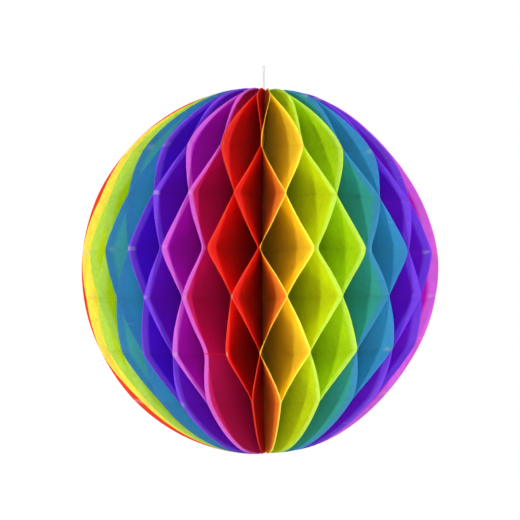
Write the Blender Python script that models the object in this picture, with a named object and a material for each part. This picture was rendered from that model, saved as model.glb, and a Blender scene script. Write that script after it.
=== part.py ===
"""Honeycomb paper ball: coloured half-disc sheets, glued in staggered rows and fanned out round a spine.

Units are metres, +Z is up along the spine, and the origin is the middle of the ball. Azimuth 0 is
the side seen from -Y, and azimuth grows towards +X. Sheets are numbered from the seam, where the
first and the last sheet lie flat against each other.
"""
import math

import bmesh
import bpy
from mathutils import Vector

# Driving dimensions of one flat sheet
SPINE_LENGTH = 0.300  # straight edge of the half disc, pole to pole
SHEET_DEPTH = 0.1448  # spine to rim at the waist
PAPER = 0.0002  # paper thickness
TIP_WIDTH = 0.003  # what is left of a sheet where it ends at a pole

# Glue: short horizontal lines, on alternate rows for alternate pairs of sheets
GLUE_PITCH = 0.0407  # between neighbouring rows, on the flat sheet
GLUE_DROP = 0.0044  # the rows sit this much low on the sheets
GLUE_STAGGER = 0.0012  # odd rows sit high and even rows sit low by this
GLUE_GAP = 0.0003  # clearance between two glued sheets
ROW_MARGIN = 0.005  # no row comes closer to a pole than this
TOP_LAG = 2.0  # below the top row the paper turns late: its share of the way is raised to this

# The stack and how it opens
COLOURS = ("red", "yellow", "green", "blue", "violet", "pink")
SHEETS_PER_COLOUR = 2
COLOUR_ROUNDS = 4
SEAM_AZIMUTH = math.radians(-78.5)
FAN_WAVES = (  # turns round the ball, swing and phase in degrees: the hand-opened fan isn't even
    (1, 4.8, 140.0),
    (2, 4.2, 78.0),
    (3, 1.5, 114.0),
)
SPINE_BOW = 0.0028  # the poles lean this far towards +X of the waist
LEVEL_REACH = 0.046  # nearer to the spine than this, the paper's height shrinks no less than here

# Hand-made irregularities, by (glue row, boundary between sheets), as distances at the rim
RIM_OPENINGS = {  # glue that stops short of the rim: how far the left and right sheets spring away
    (2, 11): (0.0056, 0.0104),
    (4, 9): (0.0008, 0.0008),
    (4, 11): (0.0020, 0.0020),
    (4, 13): (0.0007, 0.0007),
    (4, 15): (0.0014, 0.0014),
    (4, 17): (0.0025, 0.0025),
    (4, 19): (0.0009, 0.0009),
}
RIM_SHIFTS = {  # glue that was laid to one side, towards +azimuth
    (1, 12): 0.0078,
    (7, 10): 0.0044,
    (7, 12): 0.0024,
    (7, 14): -0.0027,
    (7, 16): -0.0042,
}

# Hanging thread: a bight that stands out of the top pole and is glued in the spine
THREAD = 0.0004
THREAD_STEP = 2.2 * THREAD
THREAD_ROUTE = (  # one leg: distance from the spine's axis and height above the pole
    (-0.00330, -0.0140),
    (-0.00315, -0.0110),
    (-0.00230, -0.0070),
    (-0.00115, -0.0030),
    (-0.00060, 0.0005),
    (-0.00042, 0.0050),
    (-0.00040, 0.0100),
    (-0.00044, 0.0140),
    (-0.00066, 0.0163),
    (-0.00086, 0.0177),
    (-0.00062, 0.0184),
)
THREAD_TOP = (0.0, 0.0187)

# Faces
SHEET_COLUMNS = 2  # between spine and rim
RIM_ARC = math.radians(13)  # most of the rim's round that one straight edge spans

PAPER_COLOURS = {  # linear RGB
    "red": (0.80, 0.03, 0.01),
    "yellow": (0.90, 0.52, 0.02),
    "green": (0.34, 0.62, 0.02),
    "blue": (0.02, 0.20, 0.50),
    "violet": (0.13, 0.01, 0.60),
    "pink": (0.52, 0.03, 0.48),
}
PAPER_ROUGHNESS = 0.75
THREAD_COLOUR = (0.55, 0.55, 0.57)
THREAD_ROUGHNESS = 0.35

SHEETS = len(COLOURS) * SHEETS_PER_COLOUR * COLOUR_ROUNDS
HALF_SPINE = SPINE_LENGTH / 2
SPACING = PAPER + GLUE_GAP
SPINE_RADIUS = SHEETS * SPACING / (2 * math.pi)


def clear_scene():
    for thing in list(bpy.data.objects):
        bpy.data.objects.remove(thing, do_unlink=True)


def principled(name, colour, roughness):
    material = bpy.data.materials.new(name)
    material.use_nodes = True
    shader = material.node_tree.nodes["Principled BSDF"]
    shader.inputs["Base Color"].default_value = (*colour, 1.0)
    shader.inputs["Roughness"].default_value = roughness
    shader.inputs["Metallic"].default_value = 0.0
    return material


def row_height(row):
    """Height of a glue row on the flat sheet, from the middle of the spine."""
    middle_row = round(SPINE_LENGTH / GLUE_PITCH) / 2
    stagger = GLUE_STAGGER if row % 2 else -GLUE_STAGGER
    return (row - middle_row) * GLUE_PITCH - GLUE_DROP + stagger


def glue_rows():
    """The rows that lie on the sheet."""
    reach = HALF_SPINE - ROW_MARGIN
    candidates = range(-2, 2 * round(SPINE_LENGTH / GLUE_PITCH))
    return [row for row in candidates if abs(row_height(row)) < reach]


def rim_distance(height):
    """Distance from spine to rim at a height on the flat half disc."""
    return SHEET_DEPTH * math.sqrt(max(0.0, 1 - (height / HALF_SPINE) ** 2))


def tip_height():
    """Height where the half disc has narrowed to the tip's width."""
    width = (SPINE_RADIUS + TIP_WIDTH) / SHEET_DEPTH
    return HALF_SPINE * math.sqrt(1 - width**2)


def way_up(height, row, rows):
    """Share of a sheet's way from one row's side to the next one's; beyond the end rows it stays."""
    if row < rows[0]:
        return 1.0
    if row == rows[-1]:
        return 0.0
    share = (height - row_height(row)) / (row_height(row + 1) - row_height(row))
    return share**TOP_LAG if row + 1 == rows[-1] else share


def stations(rows):
    """(height, row below, share of the way to the row above) of each line of points, bottom to top."""
    tip = math.asin(tip_height() / HALF_SPINE)
    angles = [-tip, *(math.asin(row_height(row) / HALF_SPINE) for row in rows), tip]
    found = []
    for row, start, end in zip(range(rows[0] - 1, rows[-1] + 1), angles, angles[1:]):
        steps = math.ceil((end - start) / RIM_ARC)
        points = steps + 1 if end == tip else steps
        for point in range(points):
            height = HALF_SPINE * math.sin(start + (end - start) * point / steps)
            found.append((height, row, way_up(height, row, rows)))
    return found


def spine_lean(height):
    """How far the bowed spine stands towards +X at a height."""
    return SPINE_BOW * min(1.0, abs(height) / HALF_SPINE) ** 2


def towards(azimuth):
    return Vector((math.sin(azimuth), -math.cos(azimuth)))


def fan_azimuth(boundary):
    """Azimuth at the rim of the boundary between two sheets, counted from the seam."""
    flat = SPACING / SHEET_DEPTH  # the seam's two sheets lie flat and take only their thickness
    if boundary == 0:
        return SEAM_AZIMUTH
    if boundary == SHEETS:
        return SEAM_AZIMUTH + 2 * math.pi
    turn = 2 * math.pi * (boundary - 1) / (SHEETS - 2)
    azimuth = SEAM_AZIMUTH + flat + turn * (1 - flat / math.pi)
    for count, swing, phase in FAN_WAVES:
        start = math.radians(phase)
        azimuth += math.radians(swing) * (math.sin(count * turn + start) - math.sin(start))
    return azimuth


def boundary_line(boundary):
    """Plan view of a boundary: its ends at spine and rim, and the unit vector across it."""
    inner = towards(SEAM_AZIMUTH + 2 * math.pi * boundary / SHEETS) * SPINE_RADIUS
    outer = towards(fan_azimuth(boundary)) * SHEET_DEPTH
    along = (outer - inner).normalized()
    return inner, outer, Vector((-along.y, along.x))


def boundary_point(boundary, distance):
    inner, outer, _ = boundary_line(boundary)
    return inner.lerp(outer, (distance - SPINE_RADIUS) / (SHEET_DEPTH - SPINE_RADIUS))


def opening_width(boundary, distance):
    """Mean width of the two cells beside a boundary, at a distance from the spine."""
    here = boundary_point(boundary, distance)
    beside = [b for b in (boundary - 1, boundary + 1) if 0 <= b <= SHEETS]
    widths = [(boundary_point(b, distance) - here).length - SPACING for b in beside]
    return sum(widths) / len(widths)


def draw_in(boundary, distance):
    """How far the opened cells draw the paper in towards the waist, as a share of its height."""
    opening = opening_width(boundary, max(distance, LEVEL_REACH))
    return math.sqrt(max(0.0, 1 - (opening / GLUE_PITCH) ** 2))


def is_glued(row, boundary):
    return (row + boundary) % 2 == 1


def rim_share(row, distance, share):
    """How much of a rim irregularity reaches a point: none in the inner half, all of it at the rim."""
    row_rim = rim_distance(min(abs(row_height(row)), tip_height()))
    return max(0.0, 2 * share - 1) * min(1.0, distance / row_rim)


def glue_point(sheet, row, height, distance, share):
    """Where a sheet passes a glue row: against its left or its right neighbour."""
    boundary = sheet - 1 if is_glued(row, sheet - 1) else sheet
    side = 1 if boundary == sheet - 1 else -1
    across = boundary_line(boundary)[2]
    place = boundary_point(boundary, distance) + across * side * SPACING / 2
    left, right = RIM_OPENINGS.get((row, boundary), (0.0, 0.0))
    spring = (right if side == 1 else -left) + RIM_SHIFTS.get((row, boundary), 0.0)
    place += across * spring * rim_share(row, distance, share)
    return Vector((place.x, place.y, height * draw_in(boundary, distance)))


def sheet_mesh(sheet, name, lines):
    """The middle surface of one sheet: a grid of points from spine to rim, bent to and fro."""
    shape = bmesh.new()
    grid = []
    for height, row, rise in lines:
        points = []
        for column in range(SHEET_COLUMNS + 1):
            share = column / SHEET_COLUMNS
            distance = SPINE_RADIUS + (rim_distance(height) - SPINE_RADIUS) * share
            below = glue_point(sheet, row, height, distance, share)
            above = glue_point(sheet, row + 1, height, distance, share)
            point = below.lerp(above, rise)
            point.x += spine_lean(point.z)
            points.append(shape.verts.new(point))
        grid.append(points)
    for low, high in zip(grid, grid[1:]):
        for column in range(SHEET_COLUMNS):
            shape.faces.new((low[column], low[column + 1], high[column + 1], high[column]))
    bmesh.ops.recalc_face_normals(shape, faces=shape.faces)
    mesh = bpy.data.meshes.new(name)
    shape.to_mesh(mesh)
    shape.free()
    return mesh


def make_sheet(sheet, lines, papers):
    colour = COLOURS[(sheet // SHEETS_PER_COLOUR) % len(COLOURS)]
    name = f"sheet_{sheet:02d}_{colour}"
    mesh = sheet_mesh(sheet, name, lines)
    mesh.materials.append(papers[colour])
    piece = bpy.data.objects.new(name, mesh)
    bpy.context.scene.collection.objects.link(piece)
    wall = piece.modifiers.new("paper", "SOLIDIFY")
    wall.thickness = PAPER
    wall.offset = 0.0
    return piece


def smooth_path(points, step):
    """Points about one step apart on the smooth curve through the given ones."""
    ends = [points[0] * 2 - points[1], *points, points[-1] * 2 - points[-2]]
    path = []
    for before, start, end, after in zip(ends, ends[1:], ends[2:], ends[3:]):
        count = max(1, round((end - start).length / step))
        for index in range(count):
            t = index / count
            path.append(
                (start * 2 + (end - before) * t
                 + (before * 2 - start * 5 + end * 4 - after) * t**2
                 + (start * 3 - before - end * 3 + after) * t**3) / 2
            )
    return [*path, points[-1]]


def make_thread():
    one_leg = list(THREAD_ROUTE)
    other_leg = [(-x, z) for x, z in reversed(THREAD_ROUTE)]
    route = []
    for x, z in [*one_leg, THREAD_TOP, *other_leg]:
        height = HALF_SPINE + z
        route.append(Vector((x + spine_lean(height), 0, height)))
    path = smooth_path(route, THREAD_STEP)
    curve = bpy.data.curves.new("hanging_thread", "CURVE")
    curve.dimensions = "3D"
    curve.bevel_depth = THREAD / 2
    curve.bevel_resolution = 2
    curve.use_fill_caps = True
    spline = curve.splines.new("POLY")
    spline.points.add(len(path) - 1)
    for point, place in zip(spline.points, path):
        point.co = (*place, 1.0)
    curve.materials.append(principled("nylon_thread", THREAD_COLOUR, THREAD_ROUGHNESS))
    thread = bpy.data.objects.new("hanging_thread", curve)
    bpy.context.scene.collection.objects.link(thread)
    return thread


def main():
    clear_scene()
    papers = {name: principled(f"paper_{name}", rgb, PAPER_ROUGHNESS)
              for name, rgb in PAPER_COLOURS.items()}
    lines = stations(glue_rows())
    for sheet in range(1, SHEETS + 1):
        make_sheet(sheet, lines, papers)
    make_thread()


main()
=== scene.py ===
"""Looks of the honeycomb paper ball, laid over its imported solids.

Units are metres, +Z is up along the spine, and the origin is the middle of the ball. Azimuth 0 is
the side seen from -Y, and azimuth grows towards +X. Sheets are numbered from the seam, where the
first and the last sheet lie flat against each other.
"""

import math

import bpy
from bpy.props import FloatProperty, FloatVectorProperty, IntProperty, PointerProperty
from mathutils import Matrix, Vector


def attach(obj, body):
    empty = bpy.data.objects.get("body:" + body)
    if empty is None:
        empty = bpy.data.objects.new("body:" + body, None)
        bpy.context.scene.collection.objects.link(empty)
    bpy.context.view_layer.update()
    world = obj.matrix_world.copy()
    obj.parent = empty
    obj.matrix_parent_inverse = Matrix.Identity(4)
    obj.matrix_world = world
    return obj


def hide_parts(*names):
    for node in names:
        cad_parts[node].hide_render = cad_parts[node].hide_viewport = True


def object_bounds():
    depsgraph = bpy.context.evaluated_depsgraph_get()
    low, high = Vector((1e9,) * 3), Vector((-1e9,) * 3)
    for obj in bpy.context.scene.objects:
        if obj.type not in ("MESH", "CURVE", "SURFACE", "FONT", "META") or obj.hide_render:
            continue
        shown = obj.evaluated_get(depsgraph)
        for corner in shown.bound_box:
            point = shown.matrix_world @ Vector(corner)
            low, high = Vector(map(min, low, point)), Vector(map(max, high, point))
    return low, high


bl_info = {
    "name": "Honeycomb paper ball",
    "version": (1, 0, 0),
    "blender": (4, 5, 0),
    "location": "3D View > Sidebar > Paper ball",
    "description": "Makes a honeycomb ball of glued paper sheets, its hanging thread and a plain stage",
    "category": "Object",
}

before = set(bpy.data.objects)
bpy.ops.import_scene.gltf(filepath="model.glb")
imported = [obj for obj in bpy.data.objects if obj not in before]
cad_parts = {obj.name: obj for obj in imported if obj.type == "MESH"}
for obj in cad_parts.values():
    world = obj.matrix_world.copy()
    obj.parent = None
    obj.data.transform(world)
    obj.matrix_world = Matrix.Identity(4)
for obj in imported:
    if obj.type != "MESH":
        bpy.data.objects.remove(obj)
SOLID_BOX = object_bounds()

SHEET_NODES = sorted(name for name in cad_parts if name.startswith("sheet_"))
SHEETS = len(SHEET_NODES)
SHEET_COLOURS = {int(name.split("_")[1]): name.split("_")[2] for name in SHEET_NODES}

# Listed irregularities, by (glue row, boundary between sheets), as distances at the rim
RIM_OPENINGS = {  # glue that stops short of the rim: how far the left and right sheets spring away
    (2, 11): (0.0056, 0.0104),
    (4, 9): (0.0008, 0.0008),
    (4, 11): (0.0020, 0.0020),
    (4, 13): (0.0007, 0.0007),
    (4, 15): (0.0014, 0.0014),
    (4, 17): (0.0025, 0.0025),
    (4, 19): (0.0009, 0.0009),
}
RIM_SHIFTS = {  # glue that was laid to one side, towards +azimuth
    (1, 12): 0.0078,
    (7, 10): 0.0044,
    (7, 12): 0.0024,
    (7, 14): -0.0027,
    (7, 16): -0.0042,
}
FAN_WAVES = (  # turns round the ball, swing and phase in degrees: the hand-opened fan isn't even
    (1, 4.8, 140.0),
    (2, 4.2, 78.0),
    (3, 1.5, 114.0),
)

# One leg of the thread, as listed: distance from the spine's axis and height above the pole
THREAD_LEG = (
    (-0.00330, -0.0140),
    (-0.00315, -0.0110),
    (-0.00230, -0.0070),
    (-0.00115, -0.0030),
    (-0.00060, 0.0005),
    (-0.00042, 0.0050),
    (-0.00040, 0.0100),
    (-0.00044, 0.0140),
    (-0.00066, 0.0163),
    (-0.00086, 0.0177),
    (-0.00062, 0.0184),
)
THREAD_TOP = (0.0, 0.0187)

# Deep in a cell the sheets light each other, and that light is painted in: light bounced across the
# cell and light through the paper. These matched factors multiply the channels of a face's colour, by
# (its colour, its neighbour's colour)
FACING_LIGHT = {  # light from the neighbour across the cell
    ("pink", "red"): (0.95, 1.50, 0.26),
    ("yellow", "red"): (1.05, 0.58, 1.20),
    ("yellow", "yellow"): (1.03, 0.90, 1.00),
    ("green", "yellow"): (1.18, 1.03, 1.00),
    ("blue", "green"): (0.95, 1.02, 0.62),
}
BEHIND_LIGHT = {  # light from the neighbour on the sheet's other side, through the thin paper
    ("green", "yellow"): (1.15, 1.08, 0.60),
    ("blue", "green"): (1.70, 1.25, 0.95),
    ("violet", "blue"): (0.55, 1.00, 1.10),
    ("pink", "violet"): (0.88, 1.00, 1.05),
}

# The sheet and the glue row where torn fibres of its neighbour stay on the glue
TORN_SHEET = 11
TORN_ROW = 2
NOT_TORN = 1.0  # a height that no sheet reaches

MOST_SOFTNESS = 0.09  # folds are rounded no more than this
WAVE_GAIN = 16.0  # brings the faded noise back up to about the wave height
WAVE_SEED_STEP = 0.7  # metres between the places where two sheets read the noise


def linear(hex_colour):
    """Linear RGB of an sRGB hex value."""
    shares = [int(hex_colour[start:start + 2], 16) / 255 for start in (1, 3, 5)]
    return [s / 12.92 if s <= 0.04045 else ((s + 0.055) / 1.055) ** 2.4 for s in shares]


class HoneycombSizes(bpy.types.PropertyGroup):
    """Sizes of one flat sheet, its glue rows and how the stack fans out"""

    spine_length: FloatProperty(
        name="Spine length", default=0.300, unit="LENGTH",
        description="Straight edge of the half disc, pole to pole")
    sheet_depth: FloatProperty(
        name="Sheet depth", default=0.1448, unit="LENGTH",
        description="Spine to rim at the waist")
    tip_width: FloatProperty(
        name="Tip width", default=0.003, unit="LENGTH",
        description="What is left of a sheet where it ends at a pole")
    spine_pitch: FloatProperty(
        name="Spine pitch", default=0.0005, unit="LENGTH",
        description="Room that each sheet takes round the spine")
    glue_pitch: FloatProperty(
        name="Glue pitch", default=0.0407, unit="LENGTH",
        description="Between neighbouring glue rows, on the flat sheet")
    glue_drop: FloatProperty(
        name="Glue drop", default=0.0044, unit="LENGTH",
        description="The rows sit this much low on the sheets")
    glue_stagger: FloatProperty(
        name="Glue stagger", default=0.0012, unit="LENGTH",
        description="Odd rows sit high and even rows sit low by this")
    row_margin: FloatProperty(
        name="Row margin", default=0.005, unit="LENGTH",
        description="No glue row comes closer to a pole than this")
    top_lag: FloatProperty(
        name="Top lag", default=2.0,
        description="How late the paper turns below the top row: its way is raised to this power")
    level_reach: FloatProperty(
        name="Level reach", default=0.046, unit="LENGTH",
        description="Nearer to the spine than this, the paper's height shrinks no less than here")
    seam_azimuth: FloatProperty(
        name="Seam azimuth", default=math.radians(-78.5), subtype="ANGLE",
        description="Where the first and last sheet meet")
    spine_bow: FloatProperty(
        name="Spine bow", default=0.0028, unit="LENGTH",
        description="The poles lean this far towards +X of the waist")


class PaperLook(bpy.types.PropertyGroup):
    """Thickness, softness and colours of the tissue paper, with a painted lit band along its rim and
    the painted light of its neighbours
    """

    thickness: FloatProperty(
        name="Thickness", default=0.00012, unit="LENGTH",
        description="Paper thickness at the rim")
    clearance: FloatProperty(
        name="Clearance", default=0.00002, unit="LENGTH",
        description="Left between two glued sheets")
    thinning: FloatProperty(
        name="Thinning", default=0.008, unit="LENGTH",
        description="The bound spine's thicker paper ends this far out")
    fold_softness: FloatProperty(
        name="Fold softness", default=0.005, min=0.0005, max=0.2,
        description="How far the folds at the glue are rounded")
    looseness: FloatProperty(
        name="Looseness", default=12.0,
        description="How much rounder a fold is for each metre that its rim springs away")
    wave_height: FloatProperty(
        name="Wave height", default=0.0005, unit="LENGTH",
        description="Height of the soft waves in a cell's wall")
    wave_length: FloatProperty(
        name="Wave length", default=0.035, unit="LENGTH",
        description="Length of the soft waves in a cell's wall")
    columns: IntProperty(
        name="Columns", default=18, min=3,
        description="Points from spine to rim")
    lines_per_row: IntProperty(
        name="Lines per row", default=20, min=4,
        description="Lines of points between neighbouring glue rows")
    red: FloatVectorProperty(
        name="Red", subtype="COLOR", default=linear("#F02E2A"), description="Red tissue")
    yellow: FloatVectorProperty(
        name="Yellow", subtype="COLOR", default=linear("#FCEE3A"), description="Yellow tissue")
    green: FloatVectorProperty(
        name="Green", subtype="COLOR", default=linear("#CCE80A"), description="Lime green tissue")
    blue: FloatVectorProperty(
        name="Blue", subtype="COLOR", default=linear("#48B8DD"), description="Blue tissue")
    violet: FloatVectorProperty(
        name="Violet", subtype="COLOR", default=linear("#8008DC"), description="Violet tissue")
    pink: FloatVectorProperty(
        name="Pink", subtype="COLOR", default=linear("#DC12D4"), description="Pink tissue")
    # The rim colours are painted light: the band that the lamps light along each sheet's rim, painted
    # in as paler colours
    red_rim: FloatVectorProperty(
        name="Red rim", subtype="COLOR", default=linear("#F0562E"),
        description="Red tissue in the pale band along the rim")
    yellow_rim: FloatVectorProperty(
        name="Yellow rim", subtype="COLOR", default=linear("#FCF670"),
        description="Yellow tissue in the pale band along the rim")
    green_rim: FloatVectorProperty(
        name="Green rim", subtype="COLOR", default=linear("#DAF278"),
        description="Lime green tissue in the pale band along the rim")
    blue_rim: FloatVectorProperty(
        name="Blue rim", subtype="COLOR", default=linear("#54A8D8"),
        description="Blue tissue in the pale band along the rim")
    violet_rim: FloatVectorProperty(
        name="Violet rim", subtype="COLOR", default=linear("#9C60F0"),
        description="Violet tissue in the pale band along the rim")
    pink_rim: FloatVectorProperty(
        name="Pink rim", subtype="COLOR", default=linear("#E890EE"),
        description="Pink tissue in the pale band along the rim")
    # Where and how strongly the painted lit band along the rim shows
    paling: FloatProperty(
        name="Paling", default=0.75, min=0.0, max=1.0,
        description="How much of the pale band colour shows at the rim")
    lit_band_from: FloatProperty(
        name="Paling from", default=0.0045, unit="LENGTH",
        description="The band along the rim is palest up to here")
    lit_band_width: FloatProperty(
        name="Paling width", default=0.0085, unit="LENGTH",
        description="The pale band along the rim ends here")
    glue_width: FloatProperty(
        name="Glue width", default=0.0008, unit="LENGTH",
        description="Half the width of a dried glue row")
    # The glue spots at the rim are glue and also a painted highlight, where the lit band widens at the
    # glue
    glue_and_highlight_paling: FloatProperty(
        name="Glue paling", default=0.35, min=0.0, max=1.0,
        description="How pale the glue spots at the rim are")
    # Deep in a cell the painted light of the neighbours starts here and is full there
    deep_from: FloatProperty(
        name="Deep from", default=0.004, unit="LENGTH",
        description="The neighbour's colour shows from this far behind the rim")
    deep_at: FloatProperty(
        name="Deep at", default=0.009, unit="LENGTH",
        description="The neighbour's colour shows in full from this far behind the rim")
    glow: FloatProperty(
        name="Glow", default=0.5, min=0.0, max=1.0,
        description="Share of the light that comes through the paper")


class ThreadLook(bpy.types.PropertyGroup):
    """The clear thread that the ball hangs by"""

    diameter: FloatProperty(
        name="Diameter", default=0.0004, unit="LENGTH", description="Thread diameter")
    length: FloatProperty(
        name="Length", default=0.067, unit="LENGTH",
        description="Whole length of the doubled thread, ends glued in the spine")
    colour: FloatVectorProperty(
        name="Colour", subtype="COLOR", default=linear("#8E8E94"), description="Clear nylon")


class StageLook(bpy.types.PropertyGroup):
    """Camera, lamps and the pale floor"""

    distance: FloatProperty(
        name="Camera distance", default=0.900, unit="LENGTH",
        description="Camera to the middle of the ball")
    elevation: FloatProperty(
        name="Camera elevation", default=math.radians(-1.24), subtype="ANGLE",
        description="The camera stands this much above the ball's waist")
    lens: FloatProperty(
        name="Focal length", default=75.86, unit="CAMERA", description="On a 36 mm wide sensor")
    ball_right: FloatProperty(
        name="Ball right of centre", default=0.00725,
        description="As a share of the picture's width")
    ball_below: FloatProperty(
        name="Ball below centre", default=0.0207,
        description="As a share of the picture's width")
    floor_drop: FloatProperty(
        name="Floor below the ball", default=0.35, unit="LENGTH",
        description="Clear height under the hanging ball")
    floor_radius: FloatProperty(
        name="Floor radius", default=1.1, unit="LENGTH", description="Size of the round floor")
    floor_colour: FloatVectorProperty(
        name="Floor colour", subtype="COLOR", default=linear("#F4F4F2"),
        description="Plain pale floor")
    room_light: FloatProperty(
        name="Room light", default=0.2, description="Even light from all round")


def of(items):
    """The first output of a node, or the socket or value itself."""
    return items.outputs[0] if isinstance(items, bpy.types.Node) else items


def add(tree, kind, inputs=None, **settings):
    """Adds a node with its settings, and links or sets its inputs."""
    node = tree.nodes.new(kind)
    for name, value in settings.items():
        setattr(node, name, value)
    for key, value in (inputs or {}).items():
        value = of(value)
        if isinstance(value, bpy.types.NodeSocket):
            tree.links.new(value, node.inputs[key])
        else:
            node.inputs[key].default_value = value
    return node


def new_tree(name, inputs, outputs):
    """An empty geometry tree with named inputs and outputs, and its two end nodes."""
    tree = bpy.data.node_groups.new(name, "GeometryNodeTree")
    for label, kind in inputs.items():
        tree.interface.new_socket(label, in_out="INPUT", socket_type=f"NodeSocket{kind}")
    for label, kind in outputs.items():
        tree.interface.new_socket(label, in_out="OUTPUT", socket_type=f"NodeSocket{kind}")
    return tree, add(tree, "NodeGroupInput").outputs, add(tree, "NodeGroupOutput")


def cell_side_tree():
    """Where a sheet lies against one neighbour: on the plane of a boundary, a gap away from it."""
    tree, given, end = new_tree(
        "cell side",
        {"Inner": "Vector", "Outer": "Vector", "Outward": "Float", "Shift": "Float",
         "Level Reach": "Float", "Cell Width": "Float", "Glue Pitch": "Float"},
        {"Place": "Vector", "Draw In": "Float"})
    along = add(tree, "ShaderNodeVectorMath", {0: given["Outer"], 1: given["Inner"]},
                operation="SUBTRACT")
    flat = add(tree, "ShaderNodeVectorMath", {0: along}, operation="NORMALIZE")
    across = add(tree, "ShaderNodeVectorMath", {0: (0, 0, 1), 1: flat}, operation="CROSS_PRODUCT")
    reach = add(tree, "ShaderNodeVectorMath",
                {0: along, 1: given["Outward"], 2: given["Inner"]}, operation="MULTIPLY_ADD")
    place = add(tree, "ShaderNodeVectorMath", {0: across, 1: given["Shift"], 2: reach},
                operation="MULTIPLY_ADD")
    measured = add(tree, "ShaderNodeMath", {0: given["Outward"], 1: given["Level Reach"]},
                   operation="MAXIMUM")
    opening = add(tree, "ShaderNodeMath", {0: measured, 1: given["Cell Width"]},
                  operation="MULTIPLY")
    slope = add(tree, "ShaderNodeMath", {0: opening, 1: given["Glue Pitch"]}, operation="DIVIDE")
    drawn = add(tree, "ShaderNodeMath", {0: slope, 1: slope}, operation="MULTIPLY")
    left_over = add(tree, "ShaderNodeMath", {0: 1.0, 1: drawn}, operation="SUBTRACT",
                    use_clamp=True)
    draw_in = add(tree, "ShaderNodeMath", {0: left_over}, operation="SQRT")
    tree.links.new(of(place), end.inputs["Place"])
    tree.links.new(of(draw_in), end.inputs["Draw In"])
    return tree


SHEET_SOCKETS = {
    "Spine Length": "Float", "Sheet Depth": "Float", "Spine Radius": "Float",
    "Glue Pitch": "Float", "Glue Drop": "Float", "Glue Stagger": "Float", "Middle Row": "Float",
    "First Row": "Float", "Last Row": "Float", "Top Lag": "Float", "Level Reach": "Float",
    "Fold Softness": "Float", "Looseness": "Float", "Crowding": "Float",
    "First Level": "Float", "Last Level": "Float",
    "Lines": "Int", "Columns": "Int", "Odd Sheet": "Float",
    "Left Inner": "Vector", "Left Outer": "Vector", "Right Inner": "Vector",
    "Right Outer": "Vector", "Left Cell": "Float", "Right Cell": "Float",
    "Spine Bow": "Float", "Spine Gap": "Float", "Rim Gap": "Float", "Thinning": "Float",
    "Clearance": "Float", "Wave Height": "Float",
    "Wave Length": "Float", "Wave Seed": "Vector", "Torn Height": "Float",
    "Left Light": "Color", "Right Light": "Color", "Material": "Material",
}


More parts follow.
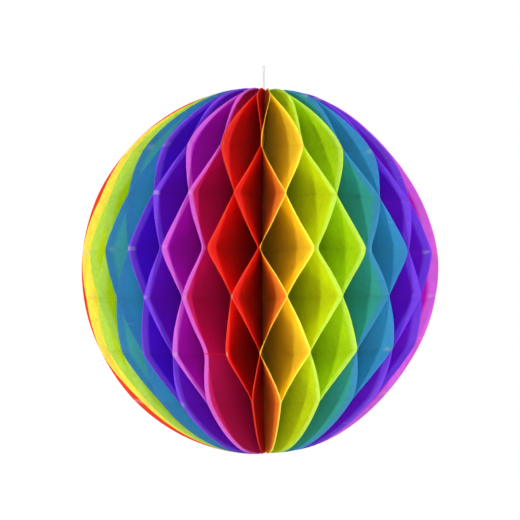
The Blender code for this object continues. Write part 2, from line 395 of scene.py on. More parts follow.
def sheet_tree(rows):
    """One sheet of the honeycomb, bent to and fro between the two boundaries beside it."""
    springs = {f"Spring {row}": "Vector" for row in range(rows)}
    tree, given, end = new_tree("honeycomb sheet", {**SHEET_SOCKETS, **springs},
                                {"Geometry": "Geometry"})
    flat = add(tree, "GeometryNodeMeshGrid",
               {"Vertices X": given["Columns"], "Vertices Y": given["Lines"]})
    share = add(tree, "ShaderNodeSeparateXYZ", {0: flat.outputs["UV Map"]})

    # Rows crowd the lines of points together at the folds, and stagger by odd and even
    level = add(tree, "ShaderNodeMapRange",
                {"Value": share.outputs[1], "To Min": given["First Level"],
                 "To Max": given["Last Level"]})
    round_trip = add(tree, "ShaderNodeMath", {0: level, 1: 2 * math.pi}, operation="MULTIPLY")
    swing = add(tree, "ShaderNodeMath", {0: round_trip}, operation="SINE")
    nudge = add(tree, "ShaderNodeMath", {0: swing, 1: given["Crowding"]}, operation="MULTIPLY")
    nudge = add(tree, "ShaderNodeMath", {0: nudge, 1: 2 * math.pi}, operation="DIVIDE")
    row = add(tree, "ShaderNodeMath", {0: level, 1: nudge}, operation="SUBTRACT")
    half_turns = add(tree, "ShaderNodeMath", {0: row, 1: math.pi}, operation="MULTIPLY")
    parity = add(tree, "ShaderNodeMath", {0: half_turns}, operation="COSINE")
    stagger = add(tree, "ShaderNodeMath", {0: parity, 1: given["Glue Stagger"]},
                  operation="MULTIPLY")
    from_middle = add(tree, "ShaderNodeMath", {0: row, 1: given["Middle Row"]},
                      operation="SUBTRACT")
    even_height = add(tree, "ShaderNodeMath",
                      {0: from_middle, 1: given["Glue Pitch"], 2: given["Glue Drop"]},
                      operation="MULTIPLY_ADD")
    height = add(tree, "ShaderNodeMath", {0: even_height, 1: stagger}, operation="SUBTRACT")

    # The half disc's rim at this height
    slimness = add(tree, "ShaderNodeMath", {0: height, 1: given["Spine Length"]},
                   operation="DIVIDE")
    slimness = add(tree, "ShaderNodeMath", {0: slimness, 1: slimness}, operation="MULTIPLY")
    chord = add(tree, "ShaderNodeMath", {0: slimness, 1: -4.0, 2: 1.0},
                operation="MULTIPLY_ADD", use_clamp=True)
    chord = add(tree, "ShaderNodeMath", {0: chord}, operation="SQRT")
    rim = add(tree, "ShaderNodeMath", {0: chord, 1: given["Sheet Depth"]}, operation="MULTIPLY")
    distance = add(tree, "ShaderNodeMapRange",
                   {"Value": share.outputs[0], "To Min": given["Spine Radius"], "To Max": rim})
    outward = add(tree, "ShaderNodeMapRange",
                  {"Value": distance, "From Min": given["Spine Radius"],
                   "From Max": given["Sheet Depth"]})

    # Rim irregularities belong to the nearest row that is glued on that side
    near_rim = add(tree, "ShaderNodeMapRange", {"Value": share.outputs[0], "From Min": 0.5},
                   interpolation_type="SMOOTHSTEP")
    even_sheet = add(tree, "ShaderNodeMath", {0: 1.0, 1: given["Odd Sheet"]},
                     operation="SUBTRACT")
    gap = add(tree, "ShaderNodeMapRange",
              {"Value": distance, "From Min": given["Spine Radius"],
               "From Max": given["Thinning"], "To Min": given["Spine Gap"],
               "To Max": given["Rim Gap"]}, interpolation_type="SMOOTHSTEP")
    beside, springs_felt = {}, {}
    for label, parity_shift, sign in (("Left", given["Odd Sheet"], 1.0),
                                      ("Right", even_sheet, -1.0)):
        own_row = add(tree, "ShaderNodeMath", {0: row, 1: parity_shift}, operation="SUBTRACT")
        pair = add(tree, "ShaderNodeMath", {0: own_row, 1: 2.0}, operation="SNAP")
        offset = add(tree, "ShaderNodeMath", {0: own_row, 1: pair}, operation="SUBTRACT")
        above = add(tree, "ShaderNodeMath", {0: offset, 1: 1.0}, operation="GREATER_THAN")
        nearest = add(tree, "ShaderNodeMath", {0: above, 1: 2.0, 2: pair},
                      operation="MULTIPLY_ADD")
        nearest = add(tree, "ShaderNodeMath", {0: nearest, 1: parity_shift}, operation="ADD")
        nearest = add(tree, "ShaderNodeClamp", {"Value": nearest, "Max": rows - 1.0})
        choice = tree.nodes.new("GeometryNodeIndexSwitch")
        choice.data_type = "VECTOR"
        while len(choice.index_switch_items) < rows:
            choice.index_switch_items.new()
        tree.links.new(of(nearest), choice.inputs["Index"])
        for number in range(rows):
            tree.links.new(given[f"Spring {number}"], choice.inputs[str(number)])
        at_row = add(tree, "ShaderNodeSeparateXYZ", {0: choice}).outputs
        far_out = add(tree, "ShaderNodeMath", {0: distance, 1: at_row[1]},
                      operation="DIVIDE", use_clamp=True)
        felt = add(tree, "ShaderNodeMath", {0: near_rim, 1: far_out}, operation="MULTIPLY")
        spring = add(tree, "ShaderNodeMath", {0: at_row[0], 1: felt}, operation="MULTIPLY")
        springs_felt[label] = spring
        shift = add(tree, "ShaderNodeMath", {0: gap, 1: sign, 2: spring},
                    operation="MULTIPLY_ADD")
        beside[label] = add(
            tree, "GeometryNodeGroup", node_tree=bpy.data.node_groups["cell side"])
        for socket, value in (("Inner", given[f"{label} Inner"]),
                              ("Outer", given[f"{label} Outer"]), ("Outward", of(outward)),
                              ("Shift", of(shift)), ("Level Reach", given["Level Reach"]),
                              ("Cell Width", given[f"{label} Cell"]),
                              ("Glue Pitch", given["Glue Pitch"])):
            tree.links.new(value, beside[label].inputs[socket])
    # Beyond the first and the last row the paper stays where they hold it, and below the last
    # row it turns late
    last_gap = add(tree, "ShaderNodeMath", {0: given["Last Row"], 1: 1.0}, operation="SUBTRACT")
    in_gap = add(tree, "ShaderNodeMath", {0: row, 1: last_gap}, operation="SUBTRACT",
                 use_clamp=True)
    in_gap = add(tree, "ShaderNodeMath", {0: in_gap, 1: given["Top Lag"]}, operation="POWER")
    held = add(tree, "ShaderNodeClamp",
               {"Value": row, "Min": given["First Row"], "Max": last_gap})
    held = add(tree, "ShaderNodeMath", {0: held, 1: in_gap}, operation="ADD")
    turns = add(tree, "ShaderNodeMath", {0: held, 1: given["Odd Sheet"]}, operation="SUBTRACT")

    # Which side of its cell the sheet is on: 0 left, 1 right. The corners are rounded, and more
    # so where the glue stops short of the rim
    own_turns = add(tree, "ShaderNodeMath", {0: turns, 1: math.pi}, operation="MULTIPLY")
    own_swing = add(tree, "ShaderNodeMath", {0: own_turns}, operation="COSINE")
    is_left = add(tree, "ShaderNodeMapRange", {"Value": own_swing, "From Min": -1.0})
    spring = add(tree, "ShaderNodeMix", {0: is_left, 2: springs_felt["Right"],
                                         3: springs_felt["Left"]}, data_type="FLOAT")
    loose = add(tree, "ShaderNodeMath", {0: spring}, operation="ABSOLUTE")
    loose = add(tree, "ShaderNodeMath", {0: loose, 1: given["Looseness"]},
                operation="MULTIPLY")
    softness = add(tree, "ShaderNodeMath", {0: loose, 1: given["Fold Softness"]},
                   operation="ADD")
    softness = add(tree, "ShaderNodeMath", {0: softness, 1: MOST_SOFTNESS}, operation="MINIMUM")
    crispness = add(tree, "ShaderNodeMath", {0: 1.0, 1: softness}, operation="SUBTRACT")
    softened = add(tree, "ShaderNodeMath", {0: own_swing, 1: crispness}, operation="MULTIPLY")
    zigzag = add(tree, "ShaderNodeMath", {0: softened}, operation="ARCSINE")
    corner = add(tree, "ShaderNodeMath", {0: crispness}, operation="ARCSINE")
    far_corner = add(tree, "ShaderNodeMath", {0: corner, 1: -1.0}, operation="MULTIPLY")
    side = add(tree, "ShaderNodeMapRange",
               {"Value": zigzag, "From Min": corner, "From Max": far_corner})

    place = add(tree, "ShaderNodeMix",
                {0: side, 4: beside["Left"].outputs["Place"],
                 5: beside["Right"].outputs["Place"]}, data_type="VECTOR")
    draw_in = add(tree, "ShaderNodeMix",
                  {0: side, 2: beside["Left"].outputs["Draw In"],
                   3: beside["Right"].outputs["Draw In"]}, data_type="FLOAT")
    raised = add(tree, "ShaderNodeMath", {0: height, 1: draw_in}, operation="MULTIPLY")
    plan = add(tree, "ShaderNodeSeparateXYZ", {0: place.outputs[1]})
    bow_share = add(tree, "ShaderNodeMath", {0: raised, 1: given["Spine Length"]},
                    operation="DIVIDE")
    bow_share = add(tree, "ShaderNodeMath", {0: bow_share, 1: bow_share}, operation="MULTIPLY")
    bow_share = add(tree, "ShaderNodeMath", {0: bow_share, 1: 4.0}, operation="MULTIPLY")
    leant = add(tree, "ShaderNodeMath",
                {0: bow_share, 1: given["Spine Bow"], 2: plan.outputs[0]},
                operation="MULTIPLY_ADD")
    bent = add(tree, "ShaderNodeCombineXYZ", {0: leant, 1: plan.outputs[1], 2: raised})
    folded = add(tree, "GeometryNodeSetPosition", {"Geometry": flat, "Position": bent})

    # Soft waves that die out at the glue and at the spine
    sample = add(tree, "ShaderNodeVectorMath", {0: bent, 1: given["Wave Seed"]},
                 operation="ADD")
    waves_per_metre = add(tree, "ShaderNodeMath", {0: 1.0, 1: given["Wave Length"]},
                          operation="DIVIDE")
    waves = add(tree, "ShaderNodeTexNoise",
                {"Vector": sample, "Scale": waves_per_metre, "Detail": 2.0})
    centred = add(tree, "ShaderNodeMath", {0: waves, 1: 0.5}, operation="SUBTRACT")
    other_side = add(tree, "ShaderNodeMath", {0: 1.0, 1: side.outputs[0]},
                     operation="SUBTRACT")
    free = add(tree, "ShaderNodeMath", {0: side, 1: other_side}, operation="MULTIPLY")
    free = add(tree, "ShaderNodeMath", {0: free, 1: outward}, operation="MULTIPLY")
    rise = add(tree, "ShaderNodeMath", {0: centred, 1: free}, operation="MULTIPLY")
    rise = add(tree, "ShaderNodeMath", {0: rise, 1: given["Wave Height"]},
               operation="MULTIPLY")
    rise = add(tree, "ShaderNodeMath", {0: rise, 1: WAVE_GAIN}, operation="MULTIPLY")
    thickness = add(tree, "ShaderNodeMath", {0: gap, 1: 2.0}, operation="MULTIPLY")
    thickness = add(tree, "ShaderNodeMath", {0: thickness, 1: given["Clearance"]},
                    operation="SUBTRACT")
    to_back = add(tree, "ShaderNodeMath", {0: thickness, 1: -0.5, 2: rise},
                  operation="MULTIPLY_ADD")
    normal = add(tree, "GeometryNodeInputNormal")
    to_back = add(tree, "ShaderNodeVectorMath", {0: normal, "Scale": to_back},
                  operation="SCALE")
    back = add(tree, "GeometryNodeSetPosition", {"Geometry": folded, "Offset": to_back})

    # On the flat sheet: distance from the spine and height, then how far rim and glue are
    on_sheet = add(tree, "ShaderNodeCombineXYZ", {0: distance, 1: height})
    marked = add(tree, "GeometryNodeStoreNamedAttribute",
                 {"Geometry": back, "Name": "UVMap", "Value": on_sheet},
                 data_type="FLOAT2", domain="CORNER")
    to_rim = add(tree, "ShaderNodeMath", {0: rim, 1: distance}, operation="SUBTRACT")
    marked = add(tree, "GeometryNodeStoreNamedAttribute",
                 {"Geometry": marked, "Name": "to_rim", "Value": to_rim},
                 data_type="FLOAT", domain="POINT")
    nearest_row = add(tree, "ShaderNodeMath", {0: row}, operation="ROUND")
    rows_off = add(tree, "ShaderNodeMath", {0: row, 1: nearest_row}, operation="SUBTRACT")
    to_glue = add(tree, "ShaderNodeMath", {0: rows_off, 1: given["Glue Pitch"]},
                  operation="MULTIPLY")
    marked = add(tree, "GeometryNodeStoreNamedAttribute",
                 {"Geometry": marked, "Name": "to_glue", "Value": to_glue},
                 data_type="FLOAT", domain="POINT")
    marked = add(tree, "GeometryNodeStoreNamedAttribute",
                 {"Geometry": marked, "Name": "torn_height", "Value": given["Torn Height"]},
                 data_type="FLOAT", domain="POINT")

    # The sheet's two faces and its cut edge, each face with the painted light of its neighbours
    front = add(tree, "GeometryNodeExtrudeMesh",
                {"Mesh": marked, "Offset Scale": thickness, "Individual": False}, mode="FACES")
    turned = add(tree, "GeometryNodeFlipFaces", {"Mesh": marked})
    both = add(tree, "GeometryNodeJoinGeometry")
    for face, light in ((front, "Left Light"), (turned, "Right Light")):
        face = add(tree, "GeometryNodeStoreNamedAttribute",
                   {"Geometry": face, "Name": "neighbour_light", "Value": given[light]},
                   data_type="FLOAT_COLOR", domain="CORNER")
        tree.links.new(of(face), both.inputs[0])
    closed = add(tree, "GeometryNodeMergeByDistance", {"Geometry": both, "Distance": 1e-5})
    smooth = add(tree, "GeometryNodeSetShadeSmooth", {"Geometry": closed})
    real = add(tree, "GeometryNodeRealizeInstances", {"Geometry": smooth})
    done = add(tree, "GeometryNodeSetMaterial",
               {"Geometry": real, "Material": given["Material"]})
    tree.links.new(of(done), end.inputs["Geometry"])
    return tree


def tissue_paper(name, colour, lit_rim_colour, look):
    """Matt tissue paper, its colour soaked into the fibres: cloudy where its fibres lie thick or thin,
    and light comes through. A lit band along the rim and the light of its neighbours are painted into
    that colour.
    """
    material = bpy.data.materials.new(name)
    material.use_nodes = True
    tree = material.node_tree
    shader = tree.nodes["Principled BSDF"]
    place = add(tree, "ShaderNodeTexCoord").outputs["Object"]
    # Clouds of fibres about 4 mm wide: 240 to the metre
    clouds = add(tree, "ShaderNodeTexNoise",
                 {"Vector": place, "Scale": 240.0, "Detail": 4.0, "Roughness": 0.65})
    shade = add(tree, "ShaderNodeMapRange",
                {"Value": clouds, "From Min": 0.3, "From Max": 0.7, "To Min": 0.93,
                 "To Max": 1.05})
    to_rim = add(tree, "ShaderNodeAttribute", attribute_name="to_rim").outputs["Fac"]
    # The pale band is painted light: the band that the lamps light along the rim, painted in as a paler
    # colour
    band = add(tree, "ShaderNodeMapRange",
               {"Value": to_rim, "From Min": look.lit_band_from, "From Max": look.lit_band_width,
                "To Min": look.paling, "To Max": 0.0}, interpolation_type="SMOOTHSTEP")
    dye_with_lit_band = add(tree, "ShaderNodeMix", {0: band, 6: (*colour, 1.0), 7: (*lit_rim_colour, 1.0)},
              data_type="RGBA").outputs[2]
    dye_and_painted_light = add(tree, "ShaderNodeVectorMath", {0: dye_with_lit_band, "Scale": shade}, operation="SCALE")

    # Dried glue: a faint darker line along each row, and pale spots where it reached the rim; these
    # spots are also a painted highlight where the lit band widens at the glue
    to_glue = add(tree, "ShaderNodeAttribute", attribute_name="to_glue").outputs["Fac"]
    off_row = add(tree, "ShaderNodeMath", {0: to_glue}, operation="ABSOLUTE")
    line = add(tree, "ShaderNodeMapRange",
               {"Value": off_row, "From Max": look.glue_width, "To Min": 0.95, "To Max": 1.0})
    dye_and_painted_light = add(tree, "ShaderNodeVectorMath", {0: dye_and_painted_light, "Scale": line}, operation="SCALE")
    # Its drops come about every 11 mm: 90 to the metre
    drops = add(tree, "ShaderNodeTexNoise", {"Vector": place, "Scale": 90.0, "Detail": 1.0})
    drops = add(tree, "ShaderNodeMapRange",
                {"Value": drops, "From Min": 0.52, "From Max": 0.7, "To Max": look.glue_and_highlight_paling})
    at_row = add(tree, "ShaderNodeMapRange",
                 {"Value": off_row, "From Min": look.glue_width, "From Max": 3 * look.glue_width,
                  "To Min": 1.0, "To Max": 0.0})
    at_rim = add(tree, "ShaderNodeMapRange",
                 {"Value": to_rim, "From Min": 0.5 * look.lit_band_width,
                  "From Max": look.lit_band_width, "To Min": 1.0, "To Max": 0.0})
    glue_and_highlight_spot = add(tree, "ShaderNodeMath", {0: drops, 1: at_row}, operation="MULTIPLY")
    glue_and_highlight_spot = add(tree, "ShaderNodeMath", {0: glue_and_highlight_spot, 1: at_rim}, operation="MULTIPLY")
    dye_and_painted_light = add(tree, "ShaderNodeMix", {0: glue_and_highlight_spot, 6: dye_and_painted_light, 7: (0.9, 0.88, 0.85, 1.0)},
               data_type="RGBA").outputs[2]

    # Painted light behind the rim: the face takes the light of its neighbours, bounced across the cell
    # and through the paper, painted into its colour
    neighbour = add(tree, "ShaderNodeAttribute", attribute_name="neighbour_light").outputs["Color"]
    deep = add(tree, "ShaderNodeMapRange",
               {"Value": to_rim, "From Min": look.deep_from, "From Max": look.deep_at},
               interpolation_type="SMOOTHSTEP")
    shine = add(tree, "ShaderNodeMix", {0: deep, 6: (1.0, 1.0, 1.0, 1.0), 7: neighbour},
                data_type="RGBA").outputs[2]
    dye_and_painted_light = add(tree, "ShaderNodeVectorMath", {0: dye_and_painted_light, 1: shine}, operation="MULTIPLY")

    # Red fibres of the neighbour that tore off stay on the glue
    torn_height = add(tree, "ShaderNodeAttribute", attribute_name="torn_height").outputs["Fac"]
    on_sheet = add(tree, "ShaderNodeAttribute", attribute_name="UVMap").outputs["Vector"]
    height = add(tree, "ShaderNodeSeparateXYZ", {0: on_sheet}).outputs[1]
    torn = add(tree, "ShaderNodeMath", {0: height, 1: torn_height, 2: look.glue_width / 2},
               operation="COMPARE")
    dye_and_painted_light = add(tree, "ShaderNodeMix", {0: torn, 6: dye_and_painted_light, 7: (*look.red, 1.0)},
               data_type="RGBA").outputs[2]
    tree.links.new(of(dye_and_painted_light), shader.inputs["Base Color"])
    # Tissue fibres are 0.02 mm thick; the relief is drawn at about 1 mm so that it shows
    fibres = add(tree, "ShaderNodeTexNoise",
                 {"Vector": place, "Scale": 900.0, "Detail": 2.0})
    bump = add(tree, "ShaderNodeBump",
               {"Height": fibres, "Strength": 0.25, "Distance": 0.0002})
    tree.links.new(of(bump), shader.inputs["Normal"])
    shader.inputs["Roughness"].default_value = 0.8
    shader.inputs["Specular IOR Level"].default_value = 0.3
    glow = add(tree, "ShaderNodeBsdfTranslucent", {"Color": dye_and_painted_light})
    mixed = add(tree, "ShaderNodeMixShader", {0: look.glow, 1: shader, 2: glow})
    tree.links.new(of(mixed), tree.nodes["Material Output"].inputs["Surface"])
    return material


def nylon_thread(colour):
    """Clear nylon monofilament: a thin grey line with a satin shine."""
    material = bpy.data.materials.new("nylon_thread")
    material.use_nodes = True
    tree = material.node_tree
    shader = tree.nodes["Principled BSDF"]
    place = add(tree, "ShaderNodeTexCoord").outputs["Object"]
    uneven = add(tree, "ShaderNodeTexNoise", {"Vector": place, "Scale": 400.0})
    shade = add(tree, "ShaderNodeMapRange", {"Value": uneven, "To Min": 0.9, "To Max": 1.1})
    tinted = add(tree, "ShaderNodeVectorMath", {0: colour, "Scale": shade}, operation="SCALE")
    tree.links.new(of(tinted), shader.inputs["Base Color"])
    shader.inputs["Roughness"].default_value = 0.35
    shader.inputs["IOR"].default_value = 1.53
    return material


def pale_floor(colour):
    """Matt white board: it looks white to the camera and still takes a soft shadow."""
    material = bpy.data.materials.new("white_board")
    material.use_nodes = True
    tree = material.node_tree
    shader = tree.nodes["Principled BSDF"]
    shader.inputs["Base Color"].default_value = (*colour, 1.0)
    shader.inputs["Roughness"].default_value = 0.9
    seen = add(tree, "ShaderNodeLightPath").outputs["Is Camera Ray"]
    lift = add(tree, "ShaderNodeMath", {0: seen, 1: 0.35}, operation="MULTIPLY")
    tree.links.new(of(lift), shader.inputs["Emission Strength"])
    shader.inputs["Emission Color"].default_value = (1.0, 1.0, 1.0, 1.0)
    return material


def towards(azimuth):
    return Vector((math.sin(azimuth), -math.cos(azimuth), 0.0))


def fan_azimuth(sizes, boundary):
    """Azimuth at the rim of the boundary between two sheets, counted from the seam."""
    if boundary == 0:
        return sizes.seam_azimuth
    if boundary == SHEETS:
        return sizes.seam_azimuth + 2 * math.pi
    flat = sizes.spine_pitch / sizes.sheet_depth  # the seam's two sheets lie flat on each other
    turn = 2 * math.pi * (boundary - 1) / (SHEETS - 2)
    azimuth = sizes.seam_azimuth + flat + turn * (1 - flat / math.pi)
    for count, swing, phase in FAN_WAVES:
        start = math.radians(phase)
        azimuth += math.radians(swing) * (math.sin(count * turn + start) - math.sin(start))
    return azimuth


def spine_radius(sizes):
    return SHEETS * sizes.spine_pitch / (2 * math.pi)


def boundary_ends(sizes, boundary):
    """Where a boundary starts at the spine and ends at the rim of the waist."""
    inner = towards(sizes.seam_azimuth + 2 * math.pi * boundary / SHEETS) * spine_radius(sizes)
    return inner, towards(fan_azimuth(sizes, boundary)) * sizes.sheet_depth


def cell_width(sizes, boundary):
    """Mean width at the rim of the two cells beside a boundary."""
    here = boundary_ends(sizes, boundary)[1]
    beside = [b for b in (boundary - 1, boundary + 1) if 0 <= b <= SHEETS]
    widths = [(boundary_ends(sizes, b)[1] - here).length for b in beside]
    return sum(widths) / len(widths) - sizes.spine_pitch


def middle_row(sizes):
    return round(sizes.spine_length / sizes.glue_pitch) / 2


def level_at(sizes, height, crowding):
    """The level, in glue rows, at which the tree's lines of points reach a height."""
    target = (height + sizes.glue_drop) / sizes.glue_pitch + middle_row(sizes)
    stagger = sizes.glue_stagger / sizes.glue_pitch
    row = target
    for _ in range(20):
        row = target + stagger * math.cos(math.pi * row)
    level = row
    for _ in range(60):
        level = row + crowding * math.sin(2 * math.pi * level) / (2 * math.pi)
    return level


def row_height(sizes, row):
    """Height of a glue row on the flat sheet, from the middle of the spine."""
    stagger = sizes.glue_stagger if row % 2 else -sizes.glue_stagger
    return (row - middle_row(sizes)) * sizes.glue_pitch - sizes.glue_drop + stagger


def glue_rows(sizes):
    """The rows that lie on the sheet."""
    reach = sizes.spine_length / 2 - sizes.row_margin
    candidates = range(2 * round(middle_row(sizes)) + 1)
    return [row for row in candidates if abs(row_height(sizes, row)) < reach]


def row_spring(sizes, sheet, row):
    """How far a sheet's rim stands off its place at a row, towards +azimuth, and the row's length."""
    boundary = sheet - 1 if (row + sheet) % 2 == 0 else sheet
    left, right = RIM_OPENINGS.get((row, boundary), (0.0, 0.0))
    spring = right if boundary == sheet - 1 else -left
    slimness = 2 * row_height(sizes, row) / sizes.spine_length
    length = sizes.sheet_depth * math.sqrt(max(0.0, 1 - slimness**2))
    return spring + RIM_SHIFTS.get((row, boundary), 0.0), length, 0.0


def cell_light(sheet, facing, behind):
    """The painted light that both neighbours give one face of a sheet, as a colour to multiply by."""
    own = SHEET_COLOURS[sheet]
    across = FACING_LIGHT.get((own, SHEET_COLOURS.get(facing)), (1.0, 1.0, 1.0))
    through = BEHIND_LIGHT.get((own, SHEET_COLOURS.get(behind)), (1.0, 1.0, 1.0))
    return (*(a * b for a, b in zip(across, through)), 1.0)


def run_tree(tree, name, values):
    """Runs a tree with its named inputs and leaves its result as a plain mesh object."""
    shell = bpy.data.objects.new(f"{name}_maker", bpy.data.meshes.new(f"{name}_maker"))
    bpy.context.scene.collection.objects.link(shell)
    maker = shell.modifiers.new("maker", "NODES")
    maker.node_group = tree
    for item in tree.interface.items_tree:
        if item.in_out == "INPUT" and item.name in values:
            maker[item.identifier] = values[item.name]
    ready = shell.evaluated_get(bpy.context.evaluated_depsgraph_get())
    mesh = bpy.data.meshes.new_from_object(ready)
    mesh.name = name
    bpy.data.objects.remove(shell)
    piece = bpy.data.objects.new(name, mesh)
    bpy.context.scene.collection.objects.link(piece)
    return piece


class PAPERBALL_OT_sheets(bpy.types.Operator):
    """Fans out the glued sheets of the honeycomb"""

    bl_idname = "paper_ball.sheets"
    bl_label = "Honeycomb sheets"

    crowding: FloatProperty(
        name="Crowding", default=0.6, min=0.0, max=0.9,
        description="How far the lines of points crowd together at the folds")
    edge_angle: FloatProperty(
        name="Edge angle", default=math.radians(50), subtype="ANGLE",
        description="Sharper edges than this aren't smoothed")

    def execute(self, context):
        sizes, paper = context.scene.paper_ball_sizes, context.scene.paper_ball_paper
        half_spine = sizes.spine_length / 2
        rows = glue_rows(sizes)
        cell_side_tree()
        tree = sheet_tree(rows[-1] + 1)
        tip_share = (spine_radius(sizes) + sizes.tip_width) / sizes.sheet_depth
        tip = half_spine * math.sqrt(1 - tip_share**2)
        first, last = (level_at(sizes, height, self.crowding) for height in (-tip, tip))
        shared = {
            "Spine Length": sizes.spine_length,
            "Sheet Depth": sizes.sheet_depth,
            "Spine Radius": spine_radius(sizes),
            "Glue Pitch": sizes.glue_pitch,
            "Glue Drop": -sizes.glue_drop,
            "Glue Stagger": sizes.glue_stagger,
            "Middle Row": middle_row(sizes),
            "First Row": float(rows[0]),
            "Last Row": float(rows[-1]),
            "Top Lag": sizes.top_lag,
            "Level Reach": sizes.level_reach / sizes.sheet_depth,
            "Fold Softness": paper.fold_softness,
            "Looseness": paper.looseness,
            "Crowding": self.crowding,
            "First Level": first,
            "Last Level": last,
            "Lines": round((last - first) * paper.lines_per_row) + 1,
            "Columns": paper.columns,
            "Spine Bow": sizes.spine_bow,
            "Spine Gap": sizes.spine_pitch / 2,
            "Rim Gap": (paper.thickness + paper.clearance) / 2,
            "Thinning": spine_radius(sizes) + paper.thinning,
            "Clearance": paper.clearance,
            "Wave Height": paper.wave_height,
            "Wave Length": paper.wave_length,
        }
        papers = {}
        for node in SHEET_NODES:
            sheet, colour = int(node.split("_")[1]), node.split("_")[2]
            if colour not in papers:
                papers[colour] = tissue_paper(
                    f"tissue_paper_{colour}", getattr(paper, colour),
                    getattr(paper, f"{colour}_rim"), paper)
            left, right = (boundary_ends(sizes, b) for b in (sheet - 1, sheet))
            lights = [cell_light(sheet, sheet - 1, sheet + 1),
                      cell_light(sheet, sheet + 1, sheet - 1)]
            own = {
                "Odd Sheet": float(sheet % 2),
                "Left Inner": left[0],
                "Left Outer": left[1],
                "Right Inner": right[0],
                "Right Outer": right[1],
                "Left Cell": cell_width(sizes, sheet - 1),
                "Right Cell": cell_width(sizes, sheet),
                "Wave Seed": Vector((0.0, 0.0, WAVE_SEED_STEP * sheet)),
                "Torn Height": row_height(sizes, TORN_ROW) if sheet == TORN_SHEET else NOT_TORN,
                "Left Light": lights[0],
                "Right Light": lights[1],
                "Material": papers[colour],
            }
            own.update({f"Spring {row}": row_spring(sizes, sheet, row)
                        for row in range(rows[-1] + 1)})
            piece = run_tree(tree, f"paper_{node}", {**shared, **own})
            piece.data.set_sharp_from_angle(angle=self.edge_angle)
            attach(piece, "root")
            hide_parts(node)
        return {"FINISHED"}


class PAPERBALL_OT_thread(bpy.types.Operator):
    """Hangs the doubled thread out of the top pole"""

    bl_idname = "paper_ball.thread"
    bl_label = "Hanging thread"

    def execute(self, context):
        sizes, look = context.scene.paper_ball_sizes, context.scene.paper_ball_thread
        half_spine = sizes.spine_length / 2
        other_leg = [(-x, z) for x, z in reversed(THREAD_LEG)]
        route = []
        for x, z in [*THREAD_LEG, THREAD_TOP, *other_leg]:
            height = half_spine + z
            bow = sizes.spine_bow * min(1.0, height / half_spine) ** 2
            route.append(Vector((x + bow, 0.0, height)))
        curve = bpy.data.curves.new("nylon_hanging_thread", "CURVE")
        curve.dimensions = "3D"
        curve.bevel_depth = look.diameter / 2
        curve.bevel_resolution = 3
        curve.use_fill_caps = True
        spline = curve.splines.new("BEZIER")
        spline.resolution_u = 6
        spline.bezier_points.add(len(route) - 1)
        for point, place in zip(spline.bezier_points, route):
            point.co = place
            point.handle_left_type = point.handle_right_type = "AUTO"
        curve.materials.append(nylon_thread(look.colour))
        thread = bpy.data.objects.new("nylon_hanging_thread", curve)
        context.scene.collection.objects.link(thread)
        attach(thread, "root")
        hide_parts("hanging_thread")
        return {"FINISHED"}


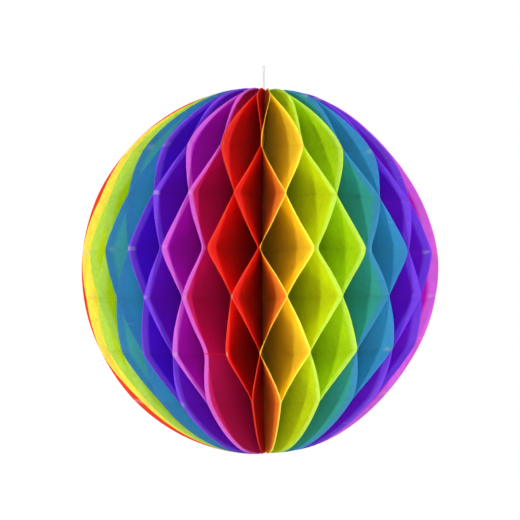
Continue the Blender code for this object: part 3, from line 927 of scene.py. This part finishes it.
class PAPERBALL_OT_stage(bpy.types.Operator):
    """Sets the camera, the lamps and the pale floor"""

    bl_idname = "paper_ball.stage"
    bl_label = "Camera, lamps and floor"

    # Name, azimuth, elevation, distance, size and power of each lamp
    LAMPS = (
        ("left_softbox", -55.5, 2.0, 2.4, 0.16, 17.0),
        ("left_fill", -27.5, 2.0, 2.4, 0.16, 30.0),
        ("right_softbox", 48.0, 3.0, 2.4, 0.20, 42.0),
        ("front_softbox", 0.0, 2.0, 2.4, 1.10, 25.0),
        ("back_softbox", 120.0, 2.0, 2.4, 0.40, 26.0),
    )

    def execute(self, context):
        scene, look = context.scene, context.scene.paper_ball_stage
        target = Vector((scene.paper_ball_sizes.spine_bow, 0.0, 0.0))
        lens = bpy.data.cameras.new("camera")
        lens.lens = look.lens
        lens.sensor_width = 36.0
        lens.shift_x = -look.ball_right
        lens.shift_y = look.ball_below
        lens.clip_start, lens.clip_end = 0.05, 20.0
        camera = bpy.data.objects.new("camera", lens)
        rise = look.distance * math.sin(look.elevation)
        back = look.distance * math.cos(look.elevation)
        camera.location = target + Vector((0.0, -back, rise))
        camera.rotation_euler = (math.pi / 2 - look.elevation, 0.0, 0.0)
        scene.collection.objects.link(camera)
        scene.camera = camera

        for name, azimuth, elevation, away, size, power in self.LAMPS:
            lamp = bpy.data.lights.new(name, "AREA")
            lamp.shape = "DISK"
            lamp.size = size
            lamp.energy = power
            holder = bpy.data.objects.new(name, lamp)
            level = math.radians(elevation)
            from_ball = towards(math.radians(azimuth)) * math.cos(level)
            from_ball.z = math.sin(level)
            holder.location = from_ball * away
            holder.rotation_mode = "QUATERNION"
            holder.rotation_quaternion = from_ball.to_track_quat("Z", "Y")
            scene.collection.objects.link(holder)

        world = bpy.data.worlds.new("white_room")
        world.use_nodes = True
        tree = world.node_tree
        tree.nodes.clear()
        path = add(tree, "ShaderNodeLightPath").outputs
        seen = add(tree, "ShaderNodeMath",
                   {0: path["Is Camera Ray"], 1: path["Is Glossy Ray"]}, operation="MAXIMUM")
        seen = add(tree, "ShaderNodeMath", {0: seen, 1: path["Is Transmission Ray"]},
                   operation="MAXIMUM")
        strength = add(tree, "ShaderNodeMapRange",
                       {"Value": seen, "To Min": look.room_light, "To Max": 1.0})
        sky = add(tree, "ShaderNodeBackground",
                  {"Color": (1.0, 1.0, 1.0, 1.0), "Strength": strength})
        add(tree, "ShaderNodeOutputWorld", {"Surface": sky})
        scene.world = world

        bottom = SOLID_BOX[0].z - look.floor_drop
        mesh = bpy.data.meshes.new("floor")
        corners = 96
        ring = [towards(2 * math.pi * n / corners) * look.floor_radius for n in range(corners)]
        mesh.from_pydata([(p.x, p.y, bottom) for p in ring], [], [range(corners)])
        mesh.materials.append(pale_floor(look.floor_colour))
        floor = bpy.data.objects.new("floor", mesh)
        scene.collection.objects.link(floor)
        scene.view_settings.view_transform = "Standard"
        return {"FINISHED"}


class PAPERBALL_PT_sidebar(bpy.types.Panel):
    """Lists the ball's pieces and their sizes"""

    bl_idname = "PAPERBALL_PT_sidebar"
    bl_label = "Honeycomb paper ball"
    bl_space_type = "VIEW_3D"
    bl_region_type = "UI"
    bl_category = "Paper ball"

    def draw(self, context):
        for operator in OPERATORS:
            self.layout.operator(operator.bl_idname)
        for name in GROUPS:
            group = getattr(context.scene, name)
            box = self.layout.box()
            for prop in group.bl_rna.properties:
                if prop.identifier not in ("rna_type", "name"):
                    box.prop(group, prop.identifier)


GROUPS = {
    "paper_ball_sizes": HoneycombSizes,
    "paper_ball_paper": PaperLook,
    "paper_ball_thread": ThreadLook,
    "paper_ball_stage": StageLook,
}
OPERATORS = (PAPERBALL_OT_sheets, PAPERBALL_OT_thread, PAPERBALL_OT_stage)
CLASSES = (*GROUPS.values(), *OPERATORS, PAPERBALL_PT_sidebar)


def register():
    for cls in CLASSES:
        bpy.utils.register_class(cls)
    for name, group in GROUPS.items():
        setattr(bpy.types.Scene, name, PointerProperty(type=group))


def unregister():
    for name in GROUPS:
        delattr(bpy.types.Scene, name)
    for cls in reversed(CLASSES):
        bpy.utils.unregister_class(cls)


def main():
    register()
    bpy.ops.paper_ball.stage()
    bpy.ops.paper_ball.thread()
    bpy.ops.paper_ball.sheets()


if __name__ == "__main__":
    main()
